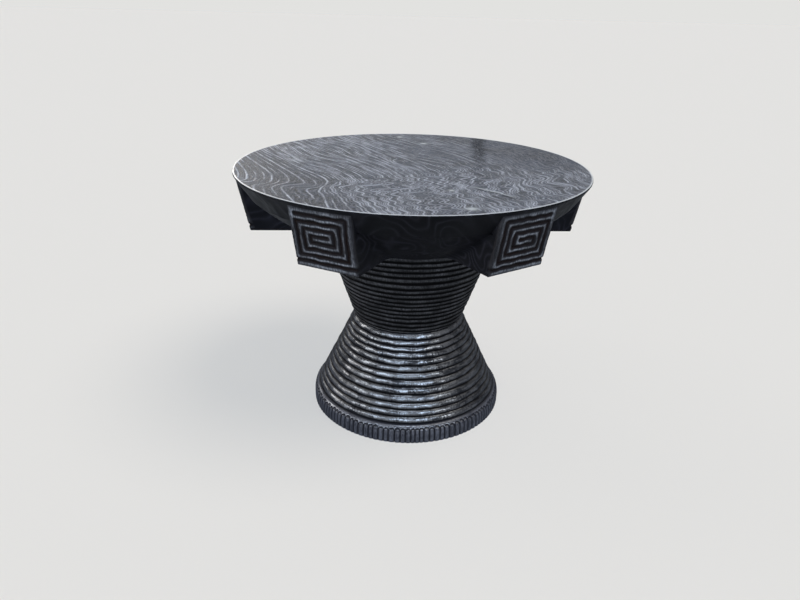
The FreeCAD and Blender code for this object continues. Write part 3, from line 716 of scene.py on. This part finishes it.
def carve_block(number):
    mirrored = -1 if number % 2 == 0 else 1
    bearing = FIRST_BLOCK_BEARING + number * 2 * SEAM_BEARING
    rise = HEAD_LEVEL - UNDERSIDE_LEVEL
    face_length = math.hypot(rise, FACE_LEAN)
    tilt = math.atan2(FACE_LEAN, rise)
    fine = np.array([0, 0.25, 0.7, 1.3, 2.2]) * MM
    plain_from = 3.2 * MM
    inner = np.linspace(plain_from, 2 * HALF_BLOCK - plain_from, POINTS_ACROSS_FACE)
    across = np.concatenate([fine, inner, 2 * HALF_BLOCK - fine[::-1]]) - HALF_BLOCK
    inner = np.linspace(plain_from, face_length - plain_from, POINTS_UP_FACE)
    ups = np.concatenate([fine, inner, face_length - fine[::-1]])
    grid_across, grid_up = np.meshgrid(across, ups)
    cut, cut_hollow, cut_wear_and_highlight = face_relief(
        mirrored * grid_across, grid_up, face_length, seed=40 + 7 * number
    )
    outlines = []

    def loop(level, kind, front, hollow, wear_and_highlight):
        """Close one outline at a level from the row of the front and both sides."""
        side = beside_block(level, front[-1], kind)
        other = beside_block(level, front[0], kind)
        back = inner_outline(kind)
        points = (
            [(x, -y) for x, y in reversed(other)] + list(zip(front, across)) + side
            + back + [(x, -y) for x, y in reversed(back)]
        )
        blank = [0.0] * len(side)
        outlines.append((
            [(x, y, level) for x, y in points],
            blank + list(hollow) + blank + [0.0] * (2 * len(back)),
            blank + list(wear_and_highlight) + blank + [0.0] * (2 * len(back)),
        ))

    plain = np.zeros_like(across)
    ring_bearings = np.arcsin(across / TOP_RING_RADIUS)
    for share in RING_SHARES:
        level = APRON_LEVEL + (UNDERSIDE_LEVEL - APRON_LEVEL) * share
        ring_cut = UPPER_GROOVE_DEPTH * (1 - (1 - abs(2 * share - 1) ** 2.2) ** (1 / 2.2))
        front = (TOP_RING_RADIUS - ring_cut) * np.cos(ring_bearings)
        loop(level, "ring", front, plain + (ring_cut > 2 * MM), plain)
    ring_front = front
    foot_front = FACE_FOOT_REACH - cut[0] / math.cos(tilt)
    for share in UNDERSIDE_SHARES:
        front = ring_front + (foot_front - ring_front) * share
        loop(UNDERSIDE_LEVEL, "block", front, plain, plain)
    for row, up in enumerate(ups):
        level = UNDERSIDE_LEVEL + up * math.cos(tilt)
        front = FACE_FOOT_REACH + up * math.sin(tilt) - cut[row] / math.cos(tilt)
        kind = "block" if level <= SLAB_LEVEL else "head"
        if kind == "head" and level - np.diff(ups)[row - 1] <= SLAB_LEVEL:
            loop(SLAB_LEVEL, "block", front, cut_hollow[row], cut_wear_and_highlight[row])
            loop(SLAB_LEVEL, "head", front, cut_hollow[row], cut_wear_and_highlight[row])
        loop(level, kind, front, cut_hollow[row], cut_wear_and_highlight[row])
    rows, hollow, wear_and_highlight = [np.array(values) for values in zip(*outlines)]
    scoops = 0.45 * MM * swells(rows, SCOOP_LENGTH, 90 + number)
    aside = sum(POINTS_ASIDE.values())
    scoops[:, len(across) + 2 * aside:] = 0
    scoops[:, aside:aside + len(across)] *= 0.3
    outward = rows[..., :2] / np.linalg.norm(rows[..., :2], axis=-1, keepdims=True)
    rows[..., :2] -= outward * np.abs(scoops)[..., None]
    cos, sin = math.cos(bearing), math.sin(bearing)
    turned = rows.copy()
    turned[..., 0] = rows[..., 0] * cos - rows[..., 1] * sin
    turned[..., 1] = rows[..., 0] * sin + rows[..., 1] * cos
    return skin(f"spiral_block_{number + 1}", turned, hollow, wear_and_highlight)


def scooped_finish(name, body, line, spacing):
    """Near black hollows under the slab, painted near black as painted shade, with faint end grain
    lines sweeping round.
    """
    material, tree, shader = new_finish(name)
    point = object_point(tree)
    sweep = noise(tree, point, scale=7, detail=1.5, Distortion=0.6)
    place = calc(tree, "FRACT", calc(tree, "DIVIDE", sweep, spacing))
    peak = calc(tree, "ABSOLUTE", calc(tree, "MULTIPLY_ADD", place, 2.0, -1.0))
    peak = calc(tree, "POWER", peak, 3.0)
    cloud = noise(tree, point, scale=24, detail=4)
    faint = calc(tree, "MULTIPLY", peak, spread(tree, cloud, 0.35, 0.65, 0.2, 1.0))
    feed(tree, shader, {
        "Base Color": blend_colours(tree, faint, body, line),
        "Roughness": spread(tree, cloud, 0.3, 0.7, 0.55, 0.8),
        "Specular IOR Level": 0.06,
    })
    roughen(tree, shader, calc(tree, "MULTIPLY_ADD", peak, 0.3, cloud), 0.5 * MM)
    return material


# The ridges' pale crest colour is wear with a painted highlight.
rubbed_highlit_black = carved_finish(
    "rubbed_highlit_black", paint(28, 26, 27), paint(160, 160, 163), paint(20, 11, 8),
    grain_width=1.6 * MM, grain_length=14 * MM, relief=0.25 * MM, seal=0.25, marks=0.1,
)
# Painted shade: the bowl, coves and block sides are painted near black.
shaded_scoop_black = scooped_finish(
    "shaded_scoop_black", paint(6, 6, 9), paint(32, 31, 36), spacing=0.03
)
for number in range(BLOCK_COUNT):
    block = carve_block(number)
    block.data.materials.append(rubbed_highlit_black)
    bearing = FIRST_BLOCK_BEARING + number * 2 * SEAM_BEARING

    def beside_face(middle):
        """Whether a face is on the block's sides, its coves or the bowl."""
        out = middle.x * math.cos(bearing) + middle.y * math.sin(bearing)
        lean = FACE_LEAN * (middle.z - UNDERSIDE_LEVEL) / (HEAD_LEVEL - UNDERSIDE_LEVEL)
        return out < FACE_FOOT_REACH + lean - FACE_SKIN

    second_finish(block, shaded_scoop_black, beside_face)
    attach(block, "root")
    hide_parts(f"apron_block_{number + 1}")

# Tabletop: one thick round slab of blackened hardwood with its edge sloping in
# under a thin worn rim, painted pale along its bevel as a painted highlight. The
# top is planed and sealed, and pale filler shows in the grain's long tongues. It
# is housed over the block heads and the spindle.
RIM_RADIUS = 304.7 * MM
TOP_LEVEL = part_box("tabletop")[1].z
RIM_HEIGHT = 3 * MM
RIM_CHAMFER = 1.1 * MM
SLAB_MORTISE_RADIUS = 55.3 * MM
SLAB_MORTISE_LEVEL = 436.3 * MM
HOUSING_INSET = 9 * MM
SLAB_SIDE_SWELL = 40 * MM
SLAB_SIDE_UNEVENNESS = 0.5 * MM
GRAIN_BEARING = math.radians(27)
BLOCK_HALF_TURN = math.asin(HALF_BLOCK / 300 / MM)
POINTS_ROUND_SLAB = 900
# Where the figure's lines fold back near the front, and by how much, across the grain
FOLD_PLACES = (-300, -248, -205, -178, -139, -99, -60, 60, 150, 300)
FOLD_ENDS = (20, 56, 90, 86, 99, 150, 170, 150, 190, 120)
# A crack at the front on the right, and pale chips: place and reach, across and deep
CRACK_LINE = ((97, 113, 127, 149), (-150, -166, -176, -202))
PALE_CHIPS = ((-29, 263, 5, 7), (21, 198, 7, 6), (83, -265, 8, 7), (60, -168, 4, 4))
# Lines of the figure: how many to each whole step of its phase, their breadth in mm,
# and how pale they are where they show least and most
FIGURE_LINES = ((1.0, 2.5, 0.3, 1.0), (3.0, 2.0, 0.0, 0.7))


def rising(value):
    """Smooth step from 0 to 1 about zero."""
    return 1 / (1 + np.exp(-np.clip(value, -40, 40)))


def along_grain(x, y):
    """Place across and along the grain of a place on the top, all in mm."""
    across = x * math.cos(GRAIN_BEARING) + y * math.sin(GRAIN_BEARING)
    return across, x * math.sin(GRAIN_BEARING) - y * math.cos(GRAIN_BEARING)


def figure_place(x, y):
    """Place across the figure, in mm, as if the grain of the top ran dead straight."""
    across, along = along_grain(x, y)
    still = np.zeros_like(x)
    drawn = np.stack([across, along * 0.3, still], axis=-1)
    line = across + 11 * swells(drawn, 130, 5) + 3 * swells(drawn, 36, 6)
    tongues = np.hypot(along - 30, 40) - 110
    line = line + 0.17 * tongues * rising((across + 190) / 25)
    end = np.interp(across, FOLD_PLACES, FOLD_ENDS)
    end = end + 6 * swells(np.stack([across, still, still], axis=-1), 60, 12)
    hook = np.interp(across, (-300, -150, -60, 60, 300), (36, 30, 20, 12, 10))
    line = line + hook * rising((along - end) / 8) + 14 * rising((along - end + 40) / 24)
    pleated = rising((across + 165) / 16) * rising((60 - across) / 40)
    pleated = pleated * rising((along - 78) / 10) * (1 - 0.5 * rising((along - 170) / 20))
    line = line + 6.5 * pleated * np.sin(FULL_TURN * (along - 0.25 * across) / 27)
    curly = rising((along - 40) / 30) * rising((across + 60) / 40)
    place = np.stack([across, along, still], axis=-1)
    line = line + curly * (4.2 * swells(place, 30, 8) + 1.4 * swells(place, 14, 9))
    arcs = np.exp(-((across - 142) / 40) ** 2 - ((along - 190) / 45) ** 2)
    line = line + 15 * arcs * np.cos(FULL_TURN * (along - 190) / 75)
    eye = np.exp(-((across + 16) / 12) ** 2 - ((along + 27) / 26) ** 2)
    return line + 30 * eye


def figure_phase(x, y):
    """Number of the figure's lines passed on the way to a place on the top, in mm."""
    place = figure_place(x, y)
    return place / 36 + rising((place + 168) / 22) * (place + 168) / 20


def figure_spacing(x, y):
    """Distance between the figure's lines, in mm."""
    here = figure_phase(x, y)
    steps = (figure_phase(x + 0.5, y) - here, figure_phase(x, y + 0.5) - here)
    return 0.5 / np.maximum(np.hypot(*steps), 0.005)


def figure_clearness(x, y):
    """How clearly the figure shows, 0 to 1: least at the back on the right."""
    smooth = rising((x - 150) / 14) * rising((y + 10) / 18)
    back = rising((y - 20) / 50) * rising((x + 20) / 50)
    shown = 1 - 0.75 * smooth - 0.45 * back * (1 - smooth)
    return shown * (1 - 0.22 * rising((x + 130) / 40))


def pale_marks(x, y):
    """How strongly the few pale chips and the crack's edge show on the top, 0 to 1."""
    shown = np.zeros_like(x)
    for at_x, at_y, reach_x, reach_y in PALE_CHIPS:
        shown += np.exp(-((x - at_x) / reach_x) ** 2 - ((y - at_y) / reach_y) ** 2)
    crack_y = np.interp(x, *CRACK_LINE) + 5
    return np.clip(shown + 0.7 * np.exp(-((y - crack_y) / 3) ** 2) * on_crack(x), 0, 1)


def on_crack(x):
    """1 along the crack's length and 0 beyond its ends."""
    return rising((x - CRACK_LINE[0][0]) / 3) * rising((CRACK_LINE[0][-1] - x) / 3)


def dark_reflection_and_crack(x, y):
    """How strongly the painted dark reflection and the one crack in the wood show, 0 to 1."""
    middle = 117 + 0.07 * y + 3 * np.sin(y / 17) + 2 * np.sin(y / 7.3)
    half = 9 + 5 * rising((y - 60) / 60)
    strength = 0.25 + 0.75 * rising((y - 20) / 35)
    dark_marks = strength * np.exp(-np.abs((x - middle) / half) ** 3) * rising((y + 150) / 60)
    off_crack = (y - np.interp(x, *CRACK_LINE) + 3) / 4
    return np.maximum(dark_marks, 0.95 * np.exp(-off_crack ** 2) * on_crack(x))


def slab():
    count = POINTS_ROUND_SLAB
    turns = np.linspace(0, FULL_TURN, count, endpoint=False)
    # Two close points at each side of each housing keep its edge crisp
    for number in range(BLOCK_COUNT):
        bearing = FIRST_BLOCK_BEARING + number * 2 * SEAM_BEARING
        for side in (-1, 1):
            step = np.round((bearing + side * BLOCK_HALF_TURN) / FULL_TURN * count).astype(int)
            for point, gap in ((step, 0.0004), (step - side, -0.0004)):
                turns[point % count] = (bearing + side * (BLOCK_HALF_TURN + gap)) % FULL_TURN
    turns = np.sort(turns)
    rng = np.random.default_rng(24)
    ragged = swing(rng, turns, 5, 60, 0.35) * MM
    profile = [(SLAB_MORTISE_RADIUS, SLAB_MORTISE_LEVEL), (SLAB_MORTISE_RADIUS, SLAB_LEVEL)]
    profile += [(r * MM, SLAB_LEVEL) for r in (120, 180, 240, 270)]
    rows = [ring_of(radius, turns, level) for radius, level in profile]
    middle = FIRST_BLOCK_BEARING + np.round(
        (turns - FIRST_BLOCK_BEARING) / (2 * SEAM_BEARING)
    ) * 2 * SEAM_BEARING
    from_middle = turns - middle
    over_block = np.abs(from_middle) < BLOCK_HALF_TURN
    side_levels = np.concatenate([
        np.linspace(SLAB_LEVEL, HEAD_LEVEL, 14), [HEAD_LEVEL + 0.01 * MM],
        np.linspace(HEAD_LEVEL + 1 * MM, TOP_LEVEL - RIM_HEIGHT, 3),
    ])
    lean = (RIM_RADIUS - SLAB_FOOT_RADIUS) / (TOP_LEVEL - RIM_HEIGHT - SLAB_LEVEL)
    for level in side_levels:
        radius = SLAB_FOOT_RADIUS + lean * (level - SLAB_LEVEL) + 0 * turns
        places = ring_of(radius, turns, level)
        swell = np.abs(swells(places, SLAB_SIDE_SWELL, seed=31))
        radius = radius - swell * SLAB_SIDE_UNEVENNESS
        if level <= HEAD_LEVEL:
            reach = FACE_FOOT_REACH - HOUSING_INSET + FACE_LEAN * (level - UNDERSIDE_LEVEL) / (
                HEAD_LEVEL - UNDERSIDE_LEVEL
            )
            housing = np.minimum(radius, reach / np.cos(from_middle))
            radius = np.where(over_block, housing, radius)
        rows.append(ring_of(radius, turns, level))
    wear_and_highlight = [0] * len(rows)
    # The rim's bevel is painted pale: wear with a painted highlight.
    for inward, down, rub_and_highlight in (
        (0, 1.6 * RIM_CHAMFER, 0), (0.12 * MM, RIM_CHAMFER, 0), (0.5 * MM, 0.4 * MM, 0.8),
        (RIM_CHAMFER, 0.05 * MM, 1), (1.7 * RIM_CHAMFER, 0, 0.9), (3.2 * RIM_CHAMFER, 0, 0),
    ):
        rows.append(ring_of(RIM_RADIUS - inward - np.abs(ragged), turns, TOP_LEVEL - down))
        wear_and_highlight.append(rub_and_highlight)
    for radius in np.linspace(298, 4, 99) * MM:
        rows.append(ring_of(radius, turns, TOP_LEVEL))
        wear_and_highlight.append(0)
    blank = np.zeros((len(rows), count))
    piece = skin("figured_slab", rows, blank, blank + np.array(wear_and_highlight)[:, None])
    spots = np.array([v.co for v in piece.data.vertices]) / MM
    for label, drawn in (
        ("figure", figure_phase), ("spacing", figure_spacing), ("drawn", figure_place),
        ("clearness", figure_clearness), ("dark_marks", dark_reflection_and_crack), ("chips", pale_marks),
    ):
        held = piece.data.attributes.new(label, "FLOAT", "POINT")
        values = drawn(spots[:, 0], spots[:, 1])
        held.data.foreach_set("value", values.astype(np.float32))
    return piece


def figured_finish():
    """Planed black slab: pale filler in narrow figure lines, sealed to a soft gloss."""
    material, tree, shader = new_finish("figured_black")
    point = object_point(tree)
    wear_and_highlight, clear, place = [kept(tree, label) for label in ("wear_and_highlight", "clearness", "drawn")]
    upright = node(tree, "ShaderNodeSeparateXYZ", {
        0: node(tree, "ShaderNodeNewGeometry").outputs["True Normal"]
    }).outputs[2]
    on_top = spread(tree, upright, 0.8, 0.95)
    turned = node(
        tree, "ShaderNodeMapping", {"Vector": point, "Rotation": (0, 0, -GRAIN_BEARING)}
    ).outputs[0]
    along = node(tree, "ShaderNodeSeparateXYZ", {0: turned}).outputs[1]
    along = calc(tree, "DIVIDE", along, MM)

    def flowing(width, length, detail):
        """Noise drawn out along the figure's lines, of a width and length in mm."""
        drawn = node(tree, "ShaderNodeCombineXYZ", {
            0: calc(tree, "DIVIDE", place, width), 1: calc(tree, "DIVIDE", along, length),
        }).outputs[0]
        return noise(tree, drawn, scale=1, detail=detail, dimensions="2D", Roughness=0.6)

    fine = noise(tree, point, scale=260, detail=3)
    shifted = calc(tree, "MULTIPLY_ADD", fine, 0.12, kept(tree, "figure"))
    strength = flowing(width=9.0, length=45.0, detail=3)
    pale = 0.0
    for times, breadth, least, most in FIGURE_LINES:
        share = calc(tree, "FRACT", calc(tree, "MULTIPLY", shifted, times))
        off = calc(tree, "SUBTRACT", 0.5, calc(
            tree, "ABSOLUTE", calc(tree, "SUBTRACT", share, 0.5)
        ))
        gap = calc(tree, "DIVIDE", kept(tree, "spacing"), times)
        peak = spread(tree, calc(tree, "MULTIPLY", off, gap), 0.3, breadth, 1.0, 0.0)
        shown = spread(tree, strength, 0.38, 0.62, least, most)
        pale = calc(tree, "MAXIMUM", pale, calc(tree, "MULTIPLY", peak, shown))
    fibres = spread(tree, flowing(width=3.4, length=14.0, detail=4), 0.48, 0.6)
    pores = spread(tree, flowing(width=2.8, length=9.0, detail=4), 0.5, 0.58)
    pale = calc(tree, "MAXIMUM", pale, calc(tree, "MULTIPLY", fibres, 0.24))
    pale = calc(tree, "MULTIPLY", pale, calc(tree, "MULTIPLY", on_top, clear))
    clouds = spread(tree, noise(tree, point, scale=11, detail=3), 0.35, 0.65)
    side = blend_colours(tree, clouds, paint(20, 20, 22), paint(34, 33, 35))
    # The top's ground is lighter and bluer than the edge's: a painted blue sheen over its own near
    # black.
    top_with_sheen = blend_colours(tree, clouds, paint(24, 29, 41), paint(38, 45, 60))
    dark = calc(tree, "MULTIPLY", pores, calc(tree, "MULTIPLY", clear, 0.85))
    top_with_sheen = blend_colours(tree, dark, top_with_sheen, paint(14, 16, 22))
    colour = blend_colours(tree, on_top, side, top_with_sheen)
    colour = blend_colours(tree, pale, colour, paint(194, 196, 203))
    # Painted reflection: a dark band down the right of the top, also made rougher; the crack
    # darkens with it.
    painted_reflection_and_crack = calc(tree, "MULTIPLY", kept(tree, "dark_marks"), spread(tree, fine, 0.4, 0.62, 1.0, 0.35))
    colour = blend_colours(tree, painted_reflection_and_crack, colour, paint(20, 21, 26))
    chipped = calc(tree, "MULTIPLY", kept(tree, "chips"), on_top)
    colour = blend_colours(tree, chipped, colour, paint(190, 192, 190))
    # Painted highlight: the rim's bevel is painted near white, with its wear.
    rubbed_and_highlit = calc(tree, "MULTIPLY", wear_and_highlight, 0.85)
    colour = blend_colours(tree, rubbed_and_highlit, colour, paint(196, 196, 197))
    rough = calc(tree, "MULTIPLY_ADD", fibres, 0.2, 0.34)
    feed(tree, shader, {
        "Base Color": colour,
        "Roughness": calc(tree, "MULTIPLY_ADD", painted_reflection_and_crack, 0.3, rough),
        "Specular IOR Level": 0.1,
        "Coat Weight": wear_and_highlight,
        "Coat Roughness": 0.3,
        "Coat IOR": 2.0,
    })
    height = calc(tree, "MULTIPLY_ADD", pale, 0.8, calc(tree, "MULTIPLY", fibres, 0.4))
    height = calc(tree, "MULTIPLY_ADD", pores, -0.6, height)
    roughen(tree, shader, calc(tree, "MULTIPLY", height, clear), 0.9 * MM)
    return material


figured_slab = slab()
figured_slab.data.materials.append(figured_finish())
# Painted shade: the slab's sloping edge is painted near black.
second_finish(
    figured_slab,
    scooped_finish("shaded_banded_black", paint(9, 9, 11), paint(34, 33, 36), spacing=0.05),
    lambda middle: middle.z < TOP_LEVEL - 0.6 * RIM_CHAMFER,
)
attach(figured_slab, "root")
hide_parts("tabletop")

# Studio: a plain pale floor that keeps the shadow, an even pale surround, and soft far
# lamps. A high one on the right casts the shadow. The others, high in front and at the
# left, and low from the back left round to the front right, only fill and gleam.
FLOOR_PALE = paint(226, 226, 224)
FLOOR_UNDER_LIGHT = paint(130, 131, 132)
SURROUND_LIGHT = (0.14, 0.14, 0.14, 1)
FLOOR_HALF = 60
SHADOW_SHARE = 0.95
# Takes the lamps' blue out of the floor again
FLOOR_TINT = (1.035, 0.947, 0.848)
# Each lamp's place round the table (0 is the viewer's side and 90 the right), height
# above the level, strength, breadth and colour. The angles are in degrees.
SHADOW_LAMP = "high_right_light"
LAMPS = {
    SHADOW_LAMP: (70, 60, 0.68, 34, (1.02, 1.0, 0.98)),
    "back_left_light": (-158, 13, 0.28, 18, (1.06, 1.0, 0.92)),
    "high_front_light": (0, 57, 0.5, 16, (0.84, 1.0, 1.26)),
    "high_right_front_light": (24, 57, 0.25, 14, (0.9, 1.0, 1.16)),
    "left_window_light": (-125, 28, 0.05, 20, (1.05, 1.0, 0.94)),
    "high_left_window_light": (-98, 44, 0.07, 20, (1.02, 1.0, 0.97)),
    "low_back_left_light": (-128, 7, 0.4, 16, (1.0, 1.0, 0.98)),
    "low_left_light": (-97, 13, 0.9, 18, (1.0, 1.0, 1.02)),
    "front_left_light": (-66, 18, 0.8, 19, (0.93, 1.0, 1.1)),
    "left_of_front_light": (-36, 22, 0.75, 20, (0.84, 1.0, 1.24)),
    "front_light": (-6, 23, 0.72, 20, (0.8, 1.0, 1.3)),
    "right_of_front_light": (24, 22, 0.8, 19, (0.8, 1.0, 1.3)),
    "front_right_light": (49, 20, 0.5, 12, (0.92, 1.0, 1.1)),
}

floor_mesh = bpy.data.meshes.new("floor")
floor_mesh.from_pydata(
    [(x * FLOOR_HALF, y * FLOOR_HALF, 0) for x, y in ((-1, -1), (1, -1), (1, 1), (-1, 1))],
    [], [(0, 1, 2, 3)],
)
floor = bpy.data.objects.new("floor", floor_mesh)
bpy.context.scene.collection.objects.link(floor)
floor_paint, floor_tree, floor_shader = new_finish("pale_floor")
ray = node(floor_tree, "ShaderNodeLightPath")
shown = calc(
    floor_tree, "MAXIMUM", ray.outputs["Is Glossy Ray"], ray.outputs["Is Transmission Ray"]
)
lit = blend_colours(floor_tree, shown, FLOOR_UNDER_LIGHT, FLOOR_PALE)
seen = tuple(c * t * SHADOW_SHARE for c, t in zip(FLOOR_PALE, FLOOR_TINT)) + (1,)
feed(floor_tree, floor_shader, {
    "Base Color": blend_colours(floor_tree, ray.outputs["Is Camera Ray"], lit, seen),
    "Roughness": 1,
    "Specular IOR Level": 0,
    "Emission Color": FLOOR_PALE,
    "Emission Strength": calc(
        floor_tree, "MULTIPLY", ray.outputs["Is Camera Ray"], 1 - SHADOW_SHARE
    ),
})
floor_mesh.materials.append(floor_paint)

surround = bpy.data.worlds.new("surround")
surround.use_nodes = True
bpy.context.scene.world = surround
sky_tree = surround.node_tree
ray = node(sky_tree, "ShaderNodeLightPath")
shown = calc(
    sky_tree, "MAXIMUM", ray.outputs["Is Camera Ray"],
    calc(sky_tree, "MAXIMUM", ray.outputs["Is Glossy Ray"], ray.outputs["Is Transmission Ray"]),
)
feed(sky_tree, sky_tree.nodes["Background"], {
    "Color": blend_colours(sky_tree, shown, SURROUND_LIGHT, FLOOR_PALE),
})

for name, (azimuth, elevation, strength, breadth, colour) in LAMPS.items():
    lamp = bpy.data.lights.new(name, "SUN")
    lamp.energy = strength
    lamp.angle = math.radians(breadth)
    lamp.color = colour
    lamp.use_shadow = name == SHADOW_LAMP
    light = bpy.data.objects.new(name, lamp)
    turn = Matrix.Rotation(math.radians(azimuth), 4, "Z")
    light.matrix_world = turn @ Matrix.Rotation(math.radians(90 - elevation), 4, "X")
    bpy.context.scene.collection.objects.link(light)

CAMERA_PLACE = (0, -1.1365, 0.7039)
CAMERA_LENS = 29.53
CAMERA_PITCH = math.radians(24.068)
CAMERA_YAW = math.radians(-0.808)
CAMERA_ROLL = math.radians(1.361)
camera = bpy.data.objects.new("camera", bpy.data.cameras.new("camera"))
camera.data.lens = CAMERA_LENS
camera.data.sensor_width = 36
camera.matrix_world = (
    Matrix.Translation(CAMERA_PLACE)
    @ Matrix.Rotation(-CAMERA_YAW, 4, "Z")
    @ Matrix.Rotation(math.pi / 2 - CAMERA_PITCH, 4, "X")
    @ Matrix.Rotation(CAMERA_ROLL, 4, "Z")
)
bpy.context.scene.collection.objects.link(camera)
bpy.context.scene.camera = camera
bpy.context.scene.view_settings.view_transform = "Standard"
